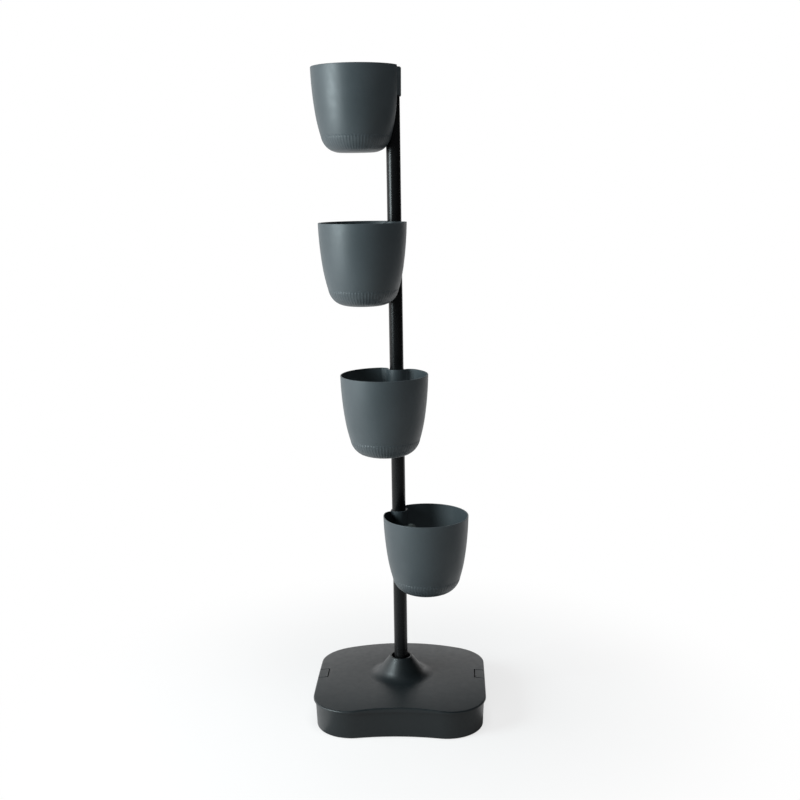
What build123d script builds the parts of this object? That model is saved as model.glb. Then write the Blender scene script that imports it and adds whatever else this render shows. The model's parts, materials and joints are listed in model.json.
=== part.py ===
"""A floor planter: four pots that slide and turn on one pole, which stands in a weighted base.

Millimetres and degrees. The origin is on the floor, on the pole's axis. +Z is up, and the base's
hollow front faces -Y. Each pot is modelled once, in a frame of its own with the pole's axis at
its origin, its rim at zero height and +X pointing from the pole to the pot's middle.
"""
import os
from math import acos, asin, atan2, cos, degrees, hypot, radians, sin, sqrt, tan

from build123d import *

os.makedirs("parts", exist_ok=True)

# Fits and clearances
press_gap = 0.05
slide_fit = 0.06
turn_fit = 0.08
seat_gap = 0.1
loose_gap = 0.3

# Pole
pole_radius = 14.6
pole_wall = 1.5
pole_section_count = 4
joiner_reach = 30.0
joiner_wall = 1.6
joiner_collar = 1.5
cap_head = 2.0
cap_plug = 16.0
cap_drop = 2.0
plug_length = 30.0

# Where the pots sit, from the top one down: the direction of each, from the front towards +X
pot_directions = (-84.6, -58.6, -17.5, 53.1)
lowest_rim = 448.0
rim_pitch = 306.6

# Pot
pot_rim_radius = 90.0
pot_height = 168.0
pot_wall = 2.4
pot_rim_slope = 1.2
pot_waist_slope = 8.6
pot_waist_drop = 90.0
pot_foot_slope = 17.5
pot_corner_radius = 40.0
pot_offset = 74.0
pot_back_reach = 8.0
pot_back_blend = 10.0
pot_rim_round = 0.9

# Loop of the pot round the pole, and the split bush inside it
bulge_radius = 19.5
loop_drop = 3.0
loop_height = 54.0
loop_top_radius = 18.0
loop_foot_radius = 17.4
bush_wall = 1.1
bush_flange_radius = 16.8
bush_flange = 1.5
bush_slit = 2.5

# Clamp that holds a pot at its height: pad, screw, threaded insert and knob
clamp_drop = 39.0
clamp_travel = 1.5
pad_radius = 4.0
pad_thickness = 3.0
insert_radius = 5.0
insert_length = 7.0
boss_wall = 2.6
screw_radius = 2.95
knob_radius = 12.0
knob_length = 14.0
knob_dome = 5.0
knob_chamfer = 1.5
knob_gap = 1.0
knob_bore_depth = 10.0
knob_groove_count = 8
knob_groove_radius = 2.4
knob_groove_bite = 0.8

# Plan of the base: half its width, its front lobes and back, and the radii of its bends
base_half_width = 184.2
base_front = 175.5
base_back = 176.0
front_corner_radius = 84.0
front_hollow = 9.0
back_radius = 414.0
back_corner_radius = 81.0

# Base cover: a low dome that flares up to a mouth round the pole, with a lip that is lowest at its front
# corners and level along its foot
crown_height = 73.0
dome_radius = 1087.0
flare_foot_radius = 71.0
flare_radius = 30.0
flare_slope = 52.0
mouth_radius = 24.0
mouth_hole_radius = 20.5
mouth_round = 1.0
cover_wall = 2.8
lip_wall = 2.4
lip_height = 3.4
lip_round = 3.0

# Base tub with the pole's socket, its feet and the bolt that holds the pole down
foot_stand = 1.0
foot_radius = 14.0
foot_thickness = 3.0
foot_spread_x = 118.0
foot_front = 118.0
foot_back = 105.0
tub_inset = 6.6
tub_draft = 2.6
tub_wall = 3.0
tub_floor = 4.0
tub_foot_round = 2.5
socket_wall = 4.0
socket_top = 100.0
socket_floor = 4.0
recess_radius = 8.6
recess_depth = 9.0
bolt_radius = 4.0
bolt_head_flats = 13.0
bolt_head_height = 5.3
bolt_length = 32.0
washer_radius = 8.0
washer_thickness = 1.6
ballast_gap = 4.0
ballast_height = 35.0

# Sliding latches that lock the cover to the tub, one at each side
latch_y = 5.0
latch_length = 21.0
latch_half_width = 20.0
latch_side_gap = 2.0
latch_travel = 2.0
latch_end_gap = 0.3
runner_reach = 3.0
runner_thickness = 2.4
rail_wall = 2.6
leg_thickness = 5.0
leg_half_width = 14.0
tongue_reach = 6.2
tongue_thickness = 3.0
catch_drop = 10.0
catch_thickness = 4.0
catch_overlap = 1.7

# Values worked out from the sizes above
bush_bore = pole_radius + slide_fit
bush_radius = bush_bore + bush_wall
loop_bore = bush_radius + turn_fit
loop_foot = loop_drop + loop_height
guide_radius = pad_radius + slide_fit
pad_start = loop_bore + seat_gap
guide_end = pad_start + pad_thickness + clamp_travel + seat_gap
boss_radius = insert_radius + boss_wall
boss_end = guide_end + insert_length
knob_start = boss_end + knob_gap
screw_end = knob_start + knob_bore_depth - seat_gap
knob_dome_turn = 2 * degrees(atan2(knob_dome, knob_radius))
knob_dome_radius = knob_radius / sin(radians(knob_dome_turn))
pole_bore = pole_radius - pole_wall
top_rim = lowest_rim + rim_pitch * (len(pot_directions) - 1)
tub_bottom = foot_stand
recess_top = tub_bottom + recess_depth
pole_bottom = recess_top + socket_floor
pole_top = top_rim - cap_drop - cap_head
joint_count = pole_section_count - 1
pole_section_length = (pole_top - pole_bottom - joint_count * joiner_collar) / pole_section_count
socket_bore = pole_radius + seat_gap
socket_radius = socket_bore + socket_wall
flare_reach = flare_foot_radius - mouth_radius - flare_radius * sin(radians(flare_slope))
flare_length = flare_reach / cos(radians(flare_slope))
flare_rise = flare_radius * (1 - cos(radians(flare_slope))) + flare_length * sin(radians(flare_slope))
mouth_height = crown_height + flare_rise
base_reach = hypot(base_half_width, max(base_front, base_back))
dome_turn = degrees(asin((base_reach - flare_foot_radius) / dome_radius))
corner_reach = front_corner_radius + hypot(base_half_width - front_corner_radius,
                                           base_front - front_corner_radius)
corner_drop = dome_radius - sqrt(dome_radius**2 - (corner_reach - flare_foot_radius)**2)
lip_foot = crown_height - corner_drop - lip_height
latch_floor = lip_foot
catch_height = latch_floor - catch_drop


def save(builder, name):
    """Labels a finished piece and writes it to its own file."""
    builder.part.label = name
    export_step(builder.part, f"parts/{name}.step")


def base_plan(inset):
    """The base's plan, moved inwards by inset."""
    run = base_half_width - front_corner_radius
    bend = 2 * degrees(atan2(front_hollow, run))
    hollow_radius = run / sin(radians(bend)) - front_corner_radius
    back_middle = base_back - back_radius
    turn = degrees(acos((base_half_width - back_corner_radius) / (back_radius - back_corner_radius)))
    back_corner_y = back_middle + (back_radius - back_corner_radius) * sin(radians(turn))
    with BuildSketch() as plan:
        with BuildLine():
            hollow = JernArc((0, front_hollow - base_front + inset), (1, 0), hollow_radius + inset, -bend)
            corner = JernArc(hollow @ 1, hollow % 1, front_corner_radius - inset, bend + 90)
            side = Line(corner @ 1, (base_half_width - inset, back_corner_y))
            back_corner = JernArc(side @ 1, side % 1, back_corner_radius - inset, turn)
            JernArc(back_corner @ 1, back_corner % 1, back_radius - inset, 90 - turn)
            mirror(about=Plane.YZ)
        make_face()
    return plan.sketch_local


def cover_section(inset):
    """Half of the cover's section, from the pole's axis to beyond its edge, moved down by inset."""
    crown = (flare_foot_radius, crown_height - inset)
    with BuildSketch() as section:
        with BuildLine():
            flare_foot = JernArc(crown, (-1, 0), flare_radius + inset, -flare_slope)
            flare = PolarLine(flare_foot @ 1, flare_length, direction=flare_foot % 1)
            dome = JernArc(crown, (1, 0), dome_radius - inset, -dome_turn)
            Polyline(flare @ 1, (0, (flare @ 1).Y), (0, 0), ((dome @ 1).X, 0), dome @ 1)
        make_face()
    return section.sketch_local


def pot_section(inset):
    """Half of the pot's outline in section, moved inwards by inset."""
    rim_slope, waist_slope, foot_slope = map(radians, (pot_rim_slope, pot_waist_slope, pot_foot_slope))
    wall_radius = pot_waist_drop / (sin(waist_slope) - sin(rim_slope))
    heel_depth = pot_height - pot_waist_drop - pot_corner_radius * (1 - sin(foot_slope))
    heel_radius = heel_depth / (sin(foot_slope) - sin(waist_slope))
    rim = (pot_rim_radius - inset * cos(rim_slope), inset * sin(rim_slope))
    heading = (-sin(rim_slope), -cos(rim_slope))
    with BuildSketch() as section:
        with BuildLine():
            wall = JernArc(rim, heading, wall_radius - inset, pot_rim_slope - pot_waist_slope)
            heel = JernArc(wall @ 1, wall % 1, heel_radius - inset, pot_waist_slope - pot_foot_slope)
            corner = JernArc(heel @ 1, heel % 1, pot_corner_radius - inset, pot_foot_slope - 90)
            Polyline(corner @ 1, (0, (corner @ 1).Y), (0, rim[1]), rim)
        make_face()
    return section.sketch_local


def back_section(inset):
    """What lies behind a pot's back, in plan: beyond its flat and round the pole, moved back by inset."""
    with BuildSketch() as section:
        with Locations((pot_wall - pot_back_reach - inset, 0)):
            Rectangle(pot_rim_radius, 4 * pot_rim_radius, align=(Align.MAX, Align.CENTER))
        Circle(bulge_radius - inset)
        flat_corners = section.vertices().group_by(Axis.X)[1]
        fillet(flat_corners.sort_by_distance((0, 0))[:2], pot_back_blend + inset)
    return section.sketch_local


def clamp_plane(distance):
    """The plane across the clamp screw, at a distance from the pole's axis, in a pot's own frame."""
    return Plane(origin=(distance, 0, -clamp_drop), x_dir=(0, 1, 0), z_dir=(1, 0, 0))


# Cover blank: the dome cut to the base's plan, from which the cover and its latches are both taken
with BuildPart() as cover_blank:
    with BuildSketch():
        add(base_plan(0))
    extrude(amount=mouth_height)
    with BuildSketch(Plane.YZ):
        add(cover_section(0))
    revolve(axis=Axis.Z, mode=Mode.INTERSECT)
    fillet(cover_blank.edges().filter_by(GeomType.BSPLINE), lip_round)

# Space under the cover's skin, inside its lip
with BuildPart() as cover_core:
    with BuildSketch():
        add(base_plan(lip_wall))
    extrude(amount=mouth_height)
    with BuildSketch(Plane.YZ):
        add(cover_section(cover_wall))
    revolve(axis=Axis.Z, mode=Mode.INTERSECT)

latch_inner = base_half_width - latch_length
notch_inner = latch_inner - latch_travel - latch_end_gap
notch_half_width = latch_half_width + latch_side_gap
runner_half_width = latch_half_width + runner_reach
rail_half_width = runner_half_width + loose_gap + rail_wall
rail_end = base_half_width - tub_inset - loose_gap
runner_end = rail_end - loose_gap
runner_top = latch_floor + runner_thickness
tongue_end = latch_inner + leg_thickness + tongue_reach
tongue_top = catch_height - loose_gap
catch_inner = tongue_end - catch_overlap
low_corner = (Align.MIN, Align.CENTER, Align.MIN)

# Base cover
with BuildPart() as base_cover:
    add(cover_blank.part)
    add(cover_core.part, mode=Mode.SUBTRACT)
    split(bisect_by=Plane.XY.offset(lip_foot), keep=Keep.TOP)
    with BuildSketch():
        Circle(mouth_hole_radius)
    extrude(amount=mouth_height, mode=Mode.SUBTRACT)
    mouth_edges = base_cover.edges().group_by(Axis.Z)[-1]
    fillet(mouth_edges, mouth_round)
    for side in (1, -1):
        rail_plane = Plane(origin=(0, latch_y, 0), x_dir=(side, 0, 0), z_dir=(0, 0, 1))
        for edge in (1, -1):
            rail_middle = edge * (notch_half_width + rail_half_width) / 2
            rail_width = rail_half_width - notch_half_width
            with BuildSketch(rail_plane.offset(latch_floor - loose_gap - rail_wall)):
                with Locations(((notch_inner + rail_end) / 2, rail_middle)):
                    Rectangle(rail_end - notch_inner, rail_width)
            extrude(until=Until.NEXT)
        with BuildSketch(rail_plane.offset(latch_floor - loose_gap)):
            with Locations(((notch_inner + rail_end) / 2, 0)):
                Rectangle(rail_end - notch_inner, 2 * (runner_half_width + loose_gap))
        extrude(amount=runner_thickness + 2 * loose_gap, mode=Mode.SUBTRACT)
        with BuildSketch(rail_plane):
            with Locations(((notch_inner + base_reach) / 2, 0)):
                Rectangle(base_reach - notch_inner, 2 * notch_half_width)
        extrude(amount=mouth_height, mode=Mode.SUBTRACT)
save(base_cover, "base_cover")

# Right latch: a tab flush with the cover, runners in the cover's rails, and a tongue under the tub's catch
with BuildPart() as latch_right:
    add(cover_blank.part)
    with Locations((latch_inner, latch_y, latch_floor)):
        Box(base_reach, 2 * latch_half_width, mouth_height, align=low_corner, mode=Mode.INTERSECT)
        Box(runner_end - latch_inner, 2 * runner_half_width, runner_thickness, align=low_corner)
    with Locations((latch_inner, latch_y, tongue_top - tongue_thickness)):
        Box(leg_thickness, 2 * leg_half_width, runner_top - tongue_top + tongue_thickness, align=low_corner)
        Box(tongue_end - latch_inner, 2 * leg_half_width, tongue_thickness, align=low_corner)
save(latch_right, "latch_right")

# Left latch
with BuildPart() as latch_left:
    mirror(latch_right.part, about=Plane.YZ)
save(latch_left, "latch_left")

# Base tub
tub_blank_height = mouth_height
foot_places = [(x, y) for x in (-foot_spread_x, foot_spread_x) for y in (-foot_front, foot_back)]
with BuildPart() as base_tub:
    with BuildSketch(Plane.XY.offset(tub_bottom)):
        add(base_plan(tub_inset))
    extrude(amount=tub_blank_height, taper=-tub_draft)
    fillet(base_tub.faces().sort_by(Axis.Z)[0].edges(), tub_foot_round)
    with BuildSketch(Plane.XY.offset(tub_bottom + tub_floor)):
        add(base_plan(tub_inset + tub_wall - tub_floor * tan(radians(tub_draft))))
    extrude(amount=tub_blank_height, taper=-tub_draft, mode=Mode.SUBTRACT)
    for side in (1, -1):
        catch_plane = Plane(origin=(0, latch_y, catch_height), x_dir=(side, 0, 0), z_dir=(0, 0, 1))
        catch_wall = base_half_width - tub_inset + tub_wall / 2
        with BuildSketch(catch_plane):
            with Locations(((catch_inner + catch_wall) / 2, 0)):
                Rectangle(catch_wall - catch_inner, 2 * leg_half_width)
        extrude(amount=catch_thickness)
        with BuildSketch(catch_plane.offset(latch_floor - loose_gap - rail_wall - loose_gap - catch_height)):
            with Locations(((catch_inner + base_reach) / 2, 0)):
                Rectangle(base_reach - catch_inner, 2 * (rail_half_width + loose_gap))
        extrude(amount=tub_blank_height, mode=Mode.SUBTRACT)
    with BuildSketch(Plane.XY.offset(tub_bottom)):
        Circle(socket_radius)
    extrude(amount=socket_top - tub_bottom)
    with BuildSketch(Plane.YZ):
        add(cover_section(cover_wall + seat_gap))
    revolve(axis=Axis.Z, mode=Mode.INTERSECT)
    with BuildSketch(Plane.XY.offset(pole_bottom)):
        Circle(socket_bore)
    extrude(amount=socket_top, mode=Mode.SUBTRACT)
    with BuildSketch(Plane.XY.offset(tub_bottom)):
        Circle(recess_radius)
    extrude(amount=recess_depth, mode=Mode.SUBTRACT)
    with BuildSketch(Plane.XY.offset(recess_top)):
        Circle(bolt_radius + seat_gap)
    extrude(amount=socket_floor, mode=Mode.SUBTRACT)
    with BuildSketch(Plane.XY.offset(tub_bottom)):
        with Locations(*foot_places):
            Circle(foot_radius + seat_gap)
    extrude(amount=foot_thickness - foot_stand, mode=Mode.SUBTRACT)
save(base_tub, "base_tub")

# Rubber feet, with one in the middle that closes the bolt's recess
with BuildPart() as rubber_feet:
    with BuildSketch():
        with Locations(*foot_places):
            Circle(foot_radius)
        Circle(recess_radius - seat_gap)
    extrude(amount=foot_thickness)
save(rubber_feet, "rubber_feet")

# Ballast slab on the tub's floor
with BuildPart() as ballast_slab:
    with BuildSketch(Plane.XY.offset(tub_bottom + tub_floor)):
        add(base_plan(tub_inset + tub_wall + ballast_gap))
        Circle(socket_radius + ballast_gap, mode=Mode.SUBTRACT)
    extrude(amount=ballast_height)
save(ballast_slab, "ballast_slab")

# Washer and bolt under the pole, and the threaded plug in the pole's foot
washer_bottom = recess_top - washer_thickness
with BuildPart() as foot_washer:
    with BuildSketch(Plane.XY.offset(washer_bottom)):
        Circle(washer_radius)
        Circle(bolt_radius + seat_gap, mode=Mode.SUBTRACT)
    extrude(amount=washer_thickness)
save(foot_washer, "foot_washer")

with BuildPart() as foot_bolt:
    with BuildSketch(Plane.XY.offset(washer_bottom)):
        RegularPolygon(bolt_head_flats / 2, 6, major_radius=False)
    extrude(amount=-bolt_head_height)
    with BuildSketch(Plane.XY.offset(washer_bottom)):
        Circle(bolt_radius)
    extrude(amount=bolt_length)
save(foot_bolt, "foot_bolt")

with BuildPart() as pole_plug:
    with BuildSketch(Plane.XY.offset(pole_bottom)):
        Circle(pole_bore - press_gap)
        Circle(bolt_radius + press_gap, mode=Mode.SUBTRACT)
    extrude(amount=plug_length)
save(pole_plug, "pole_plug")

# Pole sections, and the joiners between them
for number in range(pole_section_count):
    section_bottom = pole_bottom + number * (pole_section_length + joiner_collar)
    section_top = section_bottom + pole_section_length
    with BuildPart() as pole_section:
        with BuildSketch(Plane.XY.offset(section_bottom)):
            Circle(pole_radius)
            Circle(pole_bore, mode=Mode.SUBTRACT)
        extrude(amount=pole_section_length)
    save(pole_section, f"pole_section_{number + 1}")
    if number < joint_count:
        with BuildPart() as pole_joiner:
            with BuildSketch(Plane.XY.offset(section_top)):
                Circle(pole_radius)
            extrude(amount=joiner_collar)
            with BuildSketch(Plane.XY.offset(section_top - joiner_reach)):
                Circle(pole_bore - press_gap)
            extrude(amount=2 * joiner_reach + joiner_collar)
            with BuildSketch(Plane.XY.offset(section_top - joiner_reach)):
                Circle(pole_bore - press_gap - joiner_wall)
            extrude(amount=2 * joiner_reach + joiner_collar, mode=Mode.SUBTRACT)
        save(pole_joiner, f"pole_joiner_{number + 1}")

# Cap in the pole's top end
with BuildPart() as pole_cap:
    with BuildSketch(Plane.XY.offset(pole_top)):
        Circle(pole_radius)
    extrude(amount=cap_head)
    with BuildSketch(Plane.XY.offset(pole_top)):
        Circle(pole_bore - press_gap)
    extrude(amount=-cap_plug)
save(pole_cap, "pole_cap")

# Inside of a pot, which leaves the channel for the pole and the clamp's boss standing
pot_plane = Plane(origin=(pot_offset, 0, 0), x_dir=(1, 0, 0), z_dir=(0, -1, 0))
pot_axis = Axis((pot_offset, 0, 0), (0, 0, 1))
with BuildPart() as pot_cavity:
    with BuildSketch(pot_plane):
        add(pot_section(pot_wall))
    revolve(axis=pot_axis)
    with BuildSketch(Plane.XY.offset(-pot_height)):
        add(back_section(0))
    extrude(amount=2 * pot_height, mode=Mode.SUBTRACT)
    with BuildSketch(clamp_plane(0)):
        Circle(boss_radius)
    extrude(amount=boss_end, mode=Mode.SUBTRACT)

# Pot shell
with BuildPart() as pot_shell:
    with BuildSketch(pot_plane):
        add(pot_section(0))
    revolve(axis=pot_axis)
    add(pot_cavity.part, mode=Mode.SUBTRACT)
    with BuildSketch(Plane.XY.offset(-pot_height)):
        add(back_section(pot_wall))
    extrude(amount=2 * pot_height, mode=Mode.SUBTRACT)
    fillet(pot_shell.faces().sort_by(Axis.Z)[-1].edges(), pot_rim_round)
    with BuildSketch(Plane.XY.offset(-loop_drop)):
        Circle(loop_top_radius)
    with BuildSketch(Plane.XY.offset(-loop_foot)):
        Circle(loop_foot_radius)
    loft()
    with BuildSketch(Plane.XY.offset(-loop_foot)):
        Circle(loop_bore)
    extrude(amount=loop_height, mode=Mode.SUBTRACT)
    with BuildSketch(clamp_plane(0)):
        Circle(guide_radius)
    extrude(amount=guide_end, mode=Mode.SUBTRACT)
    with BuildSketch(clamp_plane(guide_end)):
        Circle(insert_radius)
    extrude(amount=insert_length, mode=Mode.SUBTRACT)
pot_shell.part.label = "pot_shell"

# Split bush between the pole and the pot's loop, with a flange above and below the loop
with BuildPart() as grip_bush:
    with BuildSketch(Plane.XY.offset(-loop_foot - seat_gap - bush_flange)):
        Circle(bush_flange_radius)
    extrude(amount=bush_flange)
    with BuildSketch(Plane.XY.offset(-loop_drop + seat_gap)):
        Circle(bush_flange_radius)
    extrude(amount=bush_flange)
    with BuildSketch(Plane.XY.offset(-loop_foot - seat_gap)):
        Circle(bush_radius)
    extrude(amount=loop_height + 2 * seat_gap)
    with BuildSketch(Plane.XY.offset(-pot_height)):
        Circle(bush_bore)
        with Locations((-bush_flange_radius, 0)):
            Rectangle(2 * bush_flange_radius, bush_slit)
    extrude(amount=2 * pot_height, mode=Mode.SUBTRACT)
grip_bush.part.label = "grip_bush"

# Pad that presses the bush against the pole
with BuildPart() as clamp_pad:
    with BuildSketch(clamp_plane(pad_start)):
        Circle(pad_radius)
    extrude(amount=pad_thickness)
clamp_pad.part.label = "clamp_pad"

# Threaded insert in the pot's boss
with BuildPart() as clamp_insert:
    with BuildSketch(clamp_plane(guide_end)):
        Circle(insert_radius - press_gap)
        Circle(screw_radius + slide_fit, mode=Mode.SUBTRACT)
    extrude(amount=insert_length)
clamp_insert.part.label = "clamp_insert"

# Screw, from the pad into the knob
with BuildPart() as clamp_screw:
    with BuildSketch(clamp_plane(pad_start + pad_thickness)):
        Circle(screw_radius)
    extrude(amount=screw_end - pad_start - pad_thickness)
clamp_screw.part.label = "clamp_screw"

# Knob inside the pot
with BuildPart() as clamp_knob:
    with BuildSketch(Plane(origin=(knob_start, 0, -clamp_drop), x_dir=(1, 0, 0), z_dir=(0, -1, 0))):
        with BuildLine():
            dome = JernArc((knob_length, 0), (0, 1), knob_dome_radius, knob_dome_turn)
            Polyline(dome @ 1, (knob_chamfer, knob_radius), (0, knob_radius - knob_chamfer), (0, 0), dome @ 0)
        make_face()
    revolve(axis=Axis((knob_start, 0, -clamp_drop), (1, 0, 0)))
    with BuildSketch(clamp_plane(knob_start)):
        with PolarLocations(knob_radius + knob_groove_radius - knob_groove_bite, knob_groove_count):
            Circle(knob_groove_radius)
    extrude(amount=knob_length, mode=Mode.SUBTRACT)
    with BuildSketch(clamp_plane(knob_start)):
        Circle(screw_radius + press_gap)
    extrude(amount=knob_bore_depth, mode=Mode.SUBTRACT)
clamp_knob.part.label = "clamp_knob"

# One set of these pieces for each pot, from the top pot down
for number, direction in enumerate(pot_directions):
    place = Location((0, 0, top_rim - number * rim_pitch), (0, 0, direction - 90))
    for piece in (pot_shell, grip_bush, clamp_pad, clamp_insert, clamp_screw, clamp_knob):
        placed = piece.part.moved(place)
        placed.label = f"{piece.part.label}_{number + 1}"
        export_step(placed, f"parts/{placed.label}.step")
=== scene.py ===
# %% [markdown]
# # A pole planter with four pots
#
# The planter stands on a heavy base, and four dark plastic pots slide and turn on its pole.
# Its solids come from the CAD model, at their real size and in their real places, so nothing here
# moves or resizes them. This script adds what a solid can't hold: the finish of each material,
# the fine ribs under the pots, the light and the camera. The first cell loads the solids.

# %% Load the planter's solids
import json
from math import cos, pi, radians, sin

import bmesh
import bpy
from mathutils import Euler, Matrix, Vector


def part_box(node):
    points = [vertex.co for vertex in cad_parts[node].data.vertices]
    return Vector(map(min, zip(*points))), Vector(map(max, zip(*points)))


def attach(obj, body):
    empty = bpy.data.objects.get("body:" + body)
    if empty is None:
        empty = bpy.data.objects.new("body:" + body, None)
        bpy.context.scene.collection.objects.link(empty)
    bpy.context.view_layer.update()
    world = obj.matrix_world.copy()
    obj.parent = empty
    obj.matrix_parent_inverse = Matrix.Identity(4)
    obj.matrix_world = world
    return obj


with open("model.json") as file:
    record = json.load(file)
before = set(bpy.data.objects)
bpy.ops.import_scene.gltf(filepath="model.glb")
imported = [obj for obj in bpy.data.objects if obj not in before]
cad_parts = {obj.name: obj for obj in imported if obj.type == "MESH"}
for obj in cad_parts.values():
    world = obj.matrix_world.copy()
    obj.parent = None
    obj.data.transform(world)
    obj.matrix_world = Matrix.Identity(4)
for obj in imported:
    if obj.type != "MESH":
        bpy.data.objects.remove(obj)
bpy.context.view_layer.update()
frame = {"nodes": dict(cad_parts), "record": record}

scene = bpy.context.scene

# %% [markdown]
# ## The camera
#
# A camera can be placed by eye, but this one is fitted. Its place was
# worked out from the pot rims, the pole's edges and the base's outline, so here it only needs its
# distance, its height, its turns and its focal length. The picture is 800 pixels wide, and a lens in
# millimetres is the focal length in pixels, scaled from the picture's width to the sensor's.

# %% Stand the camera in front of the planter
picture_width = 800
focal_pixels = 1134.3
camera_distance = 2.355
camera_height = 1.1406
camera_side_turn = radians(2.7)
camera_heading = radians(0.147) - camera_side_turn
camera_pitch = radians(10.891)
camera_roll = radians(-0.859)

camera = bpy.data.objects.new("camera", bpy.data.cameras.new("camera"))
scene.collection.objects.link(camera)
camera.data.sensor_width = 36
camera.data.lens = focal_pixels / picture_width * camera.data.sensor_width
camera_place = Vector((sin(camera_side_turn) * camera_distance, -cos(camera_side_turn) * camera_distance,
                       camera_height))
camera_aim = Euler((pi / 2 - camera_pitch, 0, -camera_heading)).to_matrix()
camera_turn = camera_aim @ Matrix.Rotation(camera_roll, 3, "Z")
camera.matrix_world = Matrix.Translation(camera_place) @ camera_turn.to_4x4()
scene.camera = camera
scene.view_settings.view_transform = "Standard"
print("camera at", [round(place, 3) for place in camera_place])
print("lens of", round(camera.data.lens, 1), "mm")

# %% [markdown]
# ## Helpers for the finishes
#
# Every finish below starts from the Principled shader and reads Object coordinates, which are metres
# here, because all pieces sit at the origin. So a noise of scale 1000 has spots of about a millimetre,
# and the same finish keeps its true size on a small knob and on a wide base. Most of a noise lies
# near its middle, so the helpers stretch that part alone over the range that is asked for.

# %% Helpers: a new finish, and noise in real sizes
noise_low = 0.3
noise_high = 0.7


def new_finish(name):
    """A material with its node tree, its Principled shader and a source of Object coordinates."""
    finish = bpy.data.materials.new(name)
    finish.use_nodes = True
    tree = finish.node_tree
    place = tree.nodes.new("ShaderNodeTexCoord").outputs["Object"]
    return finish, tree, tree.nodes["Principled BSDF"], place


def noise(tree, place, spot, detail=2.0):
    """Noise whose spots are about this many metres wide, as a value from 0 to 1."""
    node = tree.nodes.new("ShaderNodeTexNoise")
    node.inputs["Scale"].default_value = 1 / spot
    node.inputs["Detail"].default_value = detail
    tree.links.new(place, node.inputs["Vector"])
    return node.outputs["Fac"]


def spread(tree, value, low, high):
    """The middle of a noise stretched to run from low to high."""
    node = tree.nodes.new("ShaderNodeMapRange")
    node.inputs["From Min"].default_value = noise_low
    node.inputs["From Max"].default_value = noise_high
    node.inputs["To Min"].default_value = low
    node.inputs["To Max"].default_value = high
    tree.links.new(value, node.inputs["Value"])
    return node.outputs["Result"]


def between(tree, value, first, second):
    """A colour that runs from the first to the second as the value runs from 0 to 1."""
    node = tree.nodes.new("ShaderNodeValToRGB")
    node.color_ramp.elements[0].position = noise_low
    node.color_ramp.elements[0].color = (*first, 1)
    node.color_ramp.elements[1].position = noise_high
    node.color_ramp.elements[1].color = (*second, 1)
    tree.links.new(value, node.inputs["Fac"])
    return node.outputs["Color"]


def relief(tree, shader, height, depth, strength=1.0):
    """Bumps on the surface, as deep as this many metres."""
    node = tree.nodes.new("ShaderNodeBump")
    node.inputs["Distance"].default_value = depth
    node.inputs["Strength"].default_value = strength
    tree.links.new(height, node.inputs["Height"])
    tree.links.new(node.outputs["Normal"], shader.inputs["Normal"])


# %% [markdown]
# ## Moulded plastics
#
# The pots, the base, the knobs and the bushes are all injection moulded. A mould's steel is spark
# eroded to a fine even grain, so such plastic has tiny bumps well under a millimetre, a satin shine
# that varies a little, and a colour that drifts slightly where the melt flowed. One function makes
# them all, and each finish only says its own colours, its shine and the size of its grain.

# %% Moulded plastic, in each of its colours
def moulded_plastic(name, dark, pale, shine, gloss, grain, depth):
    """Satin plastic: drifting colour, uneven shine and a fine grain of this size and depth in metres."""
    finish, tree, shader, place = new_finish(name)
    shader.inputs["Specular IOR Level"].default_value = gloss
    flow = noise(tree, place, 0.07, 3.0)
    tree.links.new(between(tree, flow, dark, pale), shader.inputs["Base Color"])
    patches = noise(tree, place, 0.012, 4.0)
    tree.links.new(spread(tree, patches, shine - 0.03, shine + 0.03), shader.inputs["Roughness"])
    relief(tree, shader, noise(tree, place, grain, 1.0), depth, 0.35)
    return finish


finishes = {
    "pot_plastic": moulded_plastic("pot_plastic", dark=(0.046, 0.058, 0.064), pale=(0.054, 0.067, 0.074),
                                   shine=0.46, gloss=0.5, grain=0.0006, depth=0.00006),
    "base_plastic": moulded_plastic("base_plastic", dark=(0.0085, 0.0118, 0.0135), pale=(0.0105, 0.0142, 0.016),
                                    shine=0.44, gloss=0.78, grain=0.0005, depth=0.00004),
    "knob_plastic": moulded_plastic("knob_plastic", dark=(0.075, 0.090, 0.088), pale=(0.092, 0.108, 0.106),
                                    shine=0.5, gloss=0.5, grain=0.0005, depth=0.00005),
    "bush_plastic": moulded_plastic("bush_plastic", dark=(0.010, 0.010, 0.011), pale=(0.014, 0.014, 0.015),
                                    shine=0.42, gloss=0.4, grain=0.0004, depth=0.00003),
}
print("moulded plastics:", sorted(finishes))

# %% [markdown]
# ## The painted pole
#
# The pole is steel tube with a satin black powder coat. The powder melts into a skin with a faint
# orange peel, ripples of two or three millimetres that are only hundredths of a millimetre deep,
# and it shines more than the plastic beside it.

# %% Powder coat
def powder_coat():
    finish, tree, shader, place = new_finish("pole_paint")
    tone = noise(tree, place, 0.05, 2.0)
    tree.links.new(between(tree, tone, (0.005, 0.0053, 0.0056), (0.007, 0.0073, 0.0077)),
                   shader.inputs["Base Color"])
    tree.links.new(spread(tree, noise(tree, place, 0.004, 3.0), 0.26, 0.31), shader.inputs["Roughness"])
    shader.inputs["Specular IOR Level"].default_value = 0.25
    relief(tree, shader, noise(tree, place, 0.0024, 1.0), 0.00004, 0.3)
    return finish


finishes["pole_paint"] = powder_coat()
print("pole paint made")

# %% [markdown]
# ## Metals, rubber and the cast weight
#
# These sit under the base or inside the clamps and show only when the planter is lifted or taken
# apart. The bolt and screws are zinc plated, with fine brushed streaks along one direction. The
# inserts are turned brass. The feet are soft black rubber, and the weight is rough cast concrete
# with specks of sand.

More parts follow.
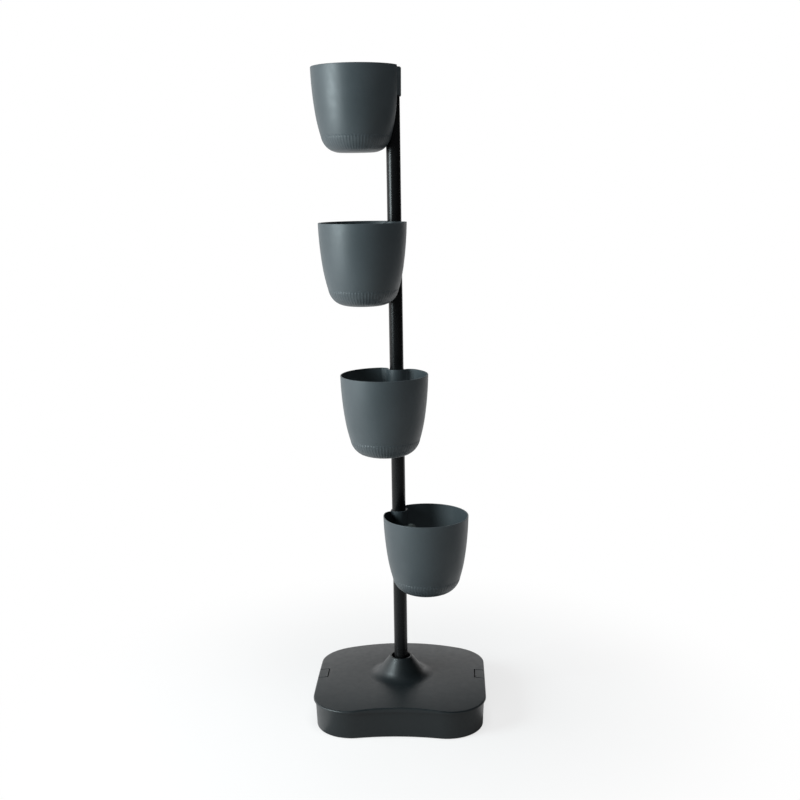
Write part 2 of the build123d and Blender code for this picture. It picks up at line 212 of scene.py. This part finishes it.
# %% Zinc, brass, rubber and concrete
def streaked_metal(name, dark, pale, shine):
    finish, tree, shader, place = new_finish(name)
    stretch = tree.nodes.new("ShaderNodeMapping")
    stretch.inputs["Scale"].default_value = (1, 1, 12)
    tree.links.new(place, stretch.inputs["Vector"])
    streaks = noise(tree, stretch.outputs["Vector"], 0.004, 4.0)
    tree.links.new(between(tree, streaks, dark, pale), shader.inputs["Base Color"])
    tree.links.new(spread(tree, streaks, shine - 0.08, shine + 0.08), shader.inputs["Roughness"])
    shader.inputs["Metallic"].default_value = 1.0
    relief(tree, shader, streaks, 0.00003, 0.3)
    return finish


def soft_rubber():
    finish, tree, shader, place = new_finish("rubber")
    bloom = noise(tree, place, 0.006, 4.0)
    tree.links.new(between(tree, bloom, (0.014, 0.014, 0.014), (0.024, 0.024, 0.023)),
                   shader.inputs["Base Color"])
    tree.links.new(spread(tree, bloom, 0.72, 0.85), shader.inputs["Roughness"])
    relief(tree, shader, noise(tree, place, 0.0008, 2.0), 0.0001, 0.4)
    return finish


def cast_concrete():
    finish, tree, shader, place = new_finish("concrete")
    tone = noise(tree, place, 0.03, 6.0)
    tree.links.new(between(tree, tone, (0.33, 0.32, 0.30), (0.46, 0.45, 0.42)), shader.inputs["Base Color"])
    tree.links.new(spread(tree, tone, 0.8, 0.95), shader.inputs["Roughness"])
    relief(tree, shader, noise(tree, place, 0.002, 6.0), 0.0008, 0.6)
    return finish


finishes["steel"] = streaked_metal("steel", (0.50, 0.51, 0.53), (0.62, 0.63, 0.64), 0.34)
finishes["brass"] = streaked_metal("brass", (0.62, 0.44, 0.19), (0.74, 0.55, 0.26), 0.30)
finishes["rubber"] = soft_rubber()
finishes["concrete"] = cast_concrete()
print("finishes:", len(finishes))

# %% [markdown]
# ## Dress the solids
#
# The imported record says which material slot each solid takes, so one loop gives every solid its
# finish. Only the material changes: the mesh is the CAD model's own.

# %% Give each solid its finish
for subpart in frame["record"]["subparts"]:
    solid = frame["nodes"][subpart["node"]]
    solid.data.materials.clear()
    solid.data.materials.append(finishes[subpart["material_slot"]])

# %% [markdown]
# ## The ribs under the pots
#
# Each pot has a band of fine upright ribs where its wall turns under, which stiffens the foot and hides
# scuffs. They could be painted on as bumps, but they catch the light along their whole length, so they
# are real shapes here. One rib starts as a low rounded profile. It is spun round the centre of the foot's
# bend, from the underside up to the wall, and then pulled straight up a little way. Both of its ends sink
# until they are level with the pot, so it grows out of the wall with no blunt tip. A second spin, with
# copies, repeats it round the pot and leaves out the stretch where the pole's channel runs.

# %% Sizes of a rib
pot_offset = 0.074
pot_height = 0.168
bend_radius = 0.040
bend_middle = 0.03255
wall_lean = radians(17.5)
rib_count = 62
rib_gap_turn = radians(18.5)
rib_width = 0.0042
rib_rise = 0.0003
rib_sink = 0.0003
rib_end_turn = radians(66)
rib_straight = 0.0063
bend_steps = 9
wall_radius = bend_middle + bend_radius * cos(wall_lean)


# %% One rib, and its copies round a pot
def rib_profile(shape, turn):
    """The rib's rounded profile, across the bend, this far down from level."""
    points = [shape.verts.new((bend_middle + (bend_radius - rib_sink) * cos(turn), -rib_width / 2, 0))]
    for share in (-0.36, -0.18, 0.0, 0.18, 0.36):
        reach = bend_radius + rib_rise * cos(share * pi)
        points.append(shape.verts.new((bend_middle + reach * cos(turn), share * rib_width, 0)))
    points.append(shape.verts.new((points[0].co.x, rib_width / 2, 0)))
    for point in points:
        point.co.z = -(point.co.x - bend_middle) * sin(turn) / cos(turn)
    edges = [shape.edges.new(pair) for pair in zip(points, points[1:])]
    return points, edges


def rib_ring():
    """All ribs of one pot, about the pot's own axis, with the centre of the foot's bend at zero height."""
    shape = bmesh.new()
    points, edges = rib_profile(shape, rib_end_turn)
    shape.faces.new(points)
    bent = bmesh.ops.spin(shape, geom=points + edges, cent=(bend_middle, 0, 0), axis=(0, 1, 0),
                          angle=wall_lean - rib_end_turn, steps=bend_steps)
    last_edges = [part for part in bent["geom_last"] if isinstance(part, bmesh.types.BMEdge)]
    pulled = bmesh.ops.extrude_edge_only(shape, edges=last_edges)
    top = [part for part in pulled["geom"] if isinstance(part, bmesh.types.BMVert)]
    bmesh.ops.translate(shape, verts=top,
                        vec=(rib_straight * sin(wall_lean), 0, rib_straight * cos(wall_lean)))
    for tip, lean in ((top, wall_lean), (points, rib_end_turn)):
        bmesh.ops.translate(shape, verts=tip, vec=(-rib_rise * cos(lean), 0, rib_rise * sin(lean)))
    top.sort(key=lambda point: point.co.y)
    shape.faces.new(top)
    for point in shape.verts:
        point.co.y *= point.co.x / wall_radius
    bmesh.ops.rotate(shape, verts=shape.verts, matrix=Matrix.Rotation(rib_gap_turn - pi, 3, "Z"))
    bmesh.ops.spin(shape, geom=list(shape.verts) + list(shape.edges) + list(shape.faces), cent=(0, 0, 0),
                   axis=(0, 0, 1), angle=2 * (pi - rib_gap_turn), steps=rib_count - 1, use_duplicate=True)
    bmesh.ops.recalc_face_normals(shape, faces=shape.faces)
    return shape


# %% [markdown]
# The pots hang at their own heights and point in their own directions. Both are read from the loaded
# model: a pot's rim is the top of its box, and its clamp screw points from the pole to the pot's middle.

# %% Ribs on each pot
joint_axes = {joint["name"]: joint["axis"] for joint in frame["record"]["behaviour"]["joints"]}
for number in (1, 2, 3, 4):
    ribs = rib_ring()
    outward = Vector(joint_axes[f"pad_{number}_slide"])
    rim_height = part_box(f"pot_shell_{number}")[1].z
    turn = Vector((1, 0, 0)).rotation_difference(outward).to_matrix()
    bmesh.ops.rotate(ribs, verts=ribs.verts, matrix=turn)
    bmesh.ops.translate(ribs, verts=ribs.verts,
                        vec=outward * pot_offset + Vector((0, 0, rim_height - pot_height + bend_radius)))
    mesh = bpy.data.meshes.new(f"pot_ribs_{number}")
    ribs.to_mesh(mesh)
    ribs.free()
    mesh.materials.append(finishes["pot_plastic"])
    mesh.shade_smooth()
    piece = bpy.data.objects.new(f"pot_ribs_{number}", mesh)
    scene.collection.objects.link(piece)
    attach(piece, f"pot_{number}")
    print(piece.name, "of", rib_count, "ribs and", len(mesh.polygons), "faces, at", round(rim_height, 4))

# %% [markdown]
# ## Floor, background and light
#
# Dark satin plastic shows its shape mostly by what it mirrors, so the light is set up as in a studio.
# A square soft lamp, slightly cool like a window, stands on the left at the height of the upper pots and
# draws the pale band down the left of each pot. A low lamp on the left and a wide one overhead only add
# even light, so they are kept out of the reflections, and the world fills the shadows.
# Behind the planter everything is white, and mirrored as white. In front of it the room is dark, which
# a curved dark wall behind the camera stands for. The floor is white paint that takes a soft shadow
# near the planter, and fades into the background further away.

# %% World
world = bpy.data.worlds.new("white studio")
scene.world = world
world.use_nodes = True
world_tree = world.node_tree
background = world_tree.nodes["Background"]
fill_level = 0.33


def seen_or_mirrored(tree):
    """1 for rays from the camera and for mirrored and refracted ones, and 0 for those that only light."""
    path = tree.nodes.new("ShaderNodeLightPath")
    total = path.outputs["Is Camera Ray"]
    for kind in ("Is Glossy Ray", "Is Transmission Ray"):
        larger = tree.nodes.new("ShaderNodeMath")
        larger.operation = "MAXIMUM"
        tree.links.new(total, larger.inputs[0])
        tree.links.new(path.outputs[kind], larger.inputs[1])
        total = larger.outputs["Value"]
    return total


level = world_tree.nodes.new("ShaderNodeMapRange")
level.inputs["To Min"].default_value = fill_level
level.inputs["To Max"].default_value = 1.0
world_tree.links.new(seen_or_mirrored(world_tree), level.inputs["Value"])
background.inputs["Color"].default_value = (1, 1, 1, 1)
world_tree.links.new(level.outputs["Result"], background.inputs["Strength"])
print("world fills at", fill_level)

# %% Lamps
def soft_lamp(name, place, aim, width, height, power, tint):
    """A rectangular soft lamp of this tint at a place, turned to a point."""
    lamp = bpy.data.objects.new(name, bpy.data.lights.new(name, "AREA"))
    scene.collection.objects.link(lamp)
    lamp.data.shape = "RECTANGLE"
    lamp.data.size = width
    lamp.data.size_y = height
    lamp.data.energy = power
    lamp.data.color = tint
    lamp.location = place
    lamp.rotation_euler = (Vector(aim) - Vector(place)).to_track_quat("-Z", "Y").to_euler()
    print(name, "of", power, "W at", place)
    return lamp


white_light = (1.0, 1.0, 1.0)
window_light = (0.84, 0.97, 1.0)
soft_lamp("left_lamp", (-1.72, -1.05, 1.2), (-0.05, 0.0, 1.0), 0.85, 0.85, 44, window_light)
for lamp in (soft_lamp("left_fill", (-2.2, -0.1, 0.5), (0.0, 0.0, 0.5), 1.4, 1.0, 28, white_light),
             soft_lamp("top_lamp", (0.2, -1.2, 4.0), (0.0, 0.0, 0.5), 2.2, 1.8, 90, white_light)):
    lamp.visible_glossy = False

# %% Pieces of the stage
def stage_mesh(name, shape, finish):
    """A finished bmesh as an object of the stage, which isn't part of the planter."""
    mesh = bpy.data.meshes.new(name)
    shape.to_mesh(mesh)
    shape.free()
    mesh.materials.append(finish)
    thing = bpy.data.objects.new(name, mesh)
    scene.collection.objects.link(thing)
    return thing


# %% [markdown]
# Photographers darken one side of a shiny thing with flags, which are sheets of black cloth held just out
# of the picture. A few of them stand for the dark room in front: curved ones at the right and behind the
# camera and one under the ceiling, with a pale sheet on the floor. A grey sheet on the floor just in front
# of the base is painted shade: it stands for the floor's shadow there, as the base's wall mirrors it.
# Each has its cloth only on the side that faces the planter, and the camera looks through it.

# %% Flags
flag_panels = 48
planter_middle = Vector((0, 0, 0.7))


def flag_cloth(name, tone):
    """Dull cloth of this tone on the front of a flag, and nothing on its back."""
    finish, tree, shader, place = new_finish(name)
    tree.links.new(between(tree, noise(tree, place, 0.4), [tone * 0.9] * 3, [tone * 1.1] * 3),
                   shader.inputs["Base Color"])
    shader.inputs["Roughness"].default_value = 0.9
    shader.inputs["Specular IOR Level"].default_value = 0.0
    behind = tree.nodes.new("ShaderNodeNewGeometry").outputs["Backfacing"]
    mix = tree.nodes.new("ShaderNodeMixShader")
    tree.links.new(behind, mix.inputs["Fac"])
    tree.links.new(shader.outputs["BSDF"], mix.inputs[1])
    tree.links.new(tree.nodes.new("ShaderNodeBsdfTransparent").outputs["BSDF"], mix.inputs[2])
    tree.links.new(mix.outputs["Shader"], tree.nodes["Material Output"].inputs["Surface"])
    return finish


def flag(name, cloth, first, second, start, end):
    """A flag made by spinning the line between two points, given as distance and height, round the pole."""
    shape = bmesh.new()
    ends = [shape.verts.new((distance * sin(start), -distance * cos(start), height))
            for distance, height in (first, second)]
    line = shape.edges.new(ends)
    bmesh.ops.spin(shape, geom=ends + [line], cent=(0, 0, 0), axis=(0, 0, 1), angle=end - start,
                   steps=flag_panels)
    bmesh.ops.recalc_face_normals(shape, faces=shape.faces)
    away = [face for face in shape.faces
            if face.normal.dot(planter_middle - face.calc_center_median()) < 0]
    bmesh.ops.reverse_faces(shape, faces=away)
    thing = stage_mesh(name, shape, cloth)
    thing.visible_camera = False
    thing.visible_shadow = False
    print(name, "of", len(thing.data.polygons), "panels")


black_cloth = flag_cloth("black_cloth", 0.02)
# Painted shade: this grey cloth stands for the floor's shadow just in front of the base.
painted_shade_cloth = flag_cloth("painted_shade_cloth", 0.33)
pale_cloth = flag_cloth("pale_cloth", 0.65)
room_radius = 3.6
room_height = 4.2
ceiling_radius = 6.6
wall_end = radians(138)
card_end = 0.55
sheet_height = 0.002
flag("dark_wall", black_cloth, (room_radius, 0.0), (room_radius, room_height), radians(-72), wall_end)
flag("high_wall", black_cloth, (room_radius, 1.3), (room_radius, room_height), wall_end, radians(165))
flag("dark_ceiling", black_cloth, (0.05, room_height), (ceiling_radius, room_height), radians(0), radians(360))
flag("pale_carpet", pale_cloth, (card_end, sheet_height), (room_radius, sheet_height), radians(-50),
     radians(110))
# Painted shade: a grey sheet for the floor's shadow in front of the base, seen in the base's wall.
flag("floor_shade_card", painted_shade_cloth, (0.15, sheet_height), (card_end, sheet_height), radians(-50), radians(70))

# %% Floor
floor_radius = 9.0
fade_start = 0.2
fade_end = 0.9
near_white = 0.7


def floor_paint():
    """White paint that fades into the white background away from the planter."""
    finish, tree, shader, place = new_finish("floor_paint")
    tree.links.new(between(tree, noise(tree, place, 0.3), (0.80, 0.80, 0.80), (0.83, 0.83, 0.83)),
                   shader.inputs["Base Color"])
    shader.inputs["Roughness"].default_value = 0.9
    shader.inputs["Specular IOR Level"].default_value = 0.0
    white = tree.nodes.new("ShaderNodeEmission")
    distance = tree.nodes.new("ShaderNodeVectorMath")
    distance.operation = "LENGTH"
    tree.links.new(place, distance.inputs[0])
    fade = tree.nodes.new("ShaderNodeMapRange")
    fade.interpolation_type = "SMOOTHSTEP"
    fade.inputs["From Min"].default_value = fade_start
    fade.inputs["From Max"].default_value = fade_end
    fade.inputs["To Min"].default_value = near_white
    tree.links.new(distance.outputs["Value"], fade.inputs["Value"])
    share = tree.nodes.new("ShaderNodeMath")
    share.operation = "MULTIPLY"
    tree.links.new(fade.outputs["Result"], share.inputs[0])
    tree.links.new(seen_or_mirrored(tree), share.inputs[1])
    mix = tree.nodes.new("ShaderNodeMixShader")
    tree.links.new(share.outputs["Value"], mix.inputs["Fac"])
    tree.links.new(shader.outputs["BSDF"], mix.inputs[1])
    tree.links.new(white.outputs["Emission"], mix.inputs[2])
    tree.links.new(mix.outputs["Shader"], tree.nodes["Material Output"].inputs["Surface"])
    return finish


disc = bmesh.new()
bmesh.ops.create_circle(disc, cap_ends=True, segments=96, radius=floor_radius)
stage_mesh("floor", disc, floor_paint())
print("floor of radius", floor_radius)
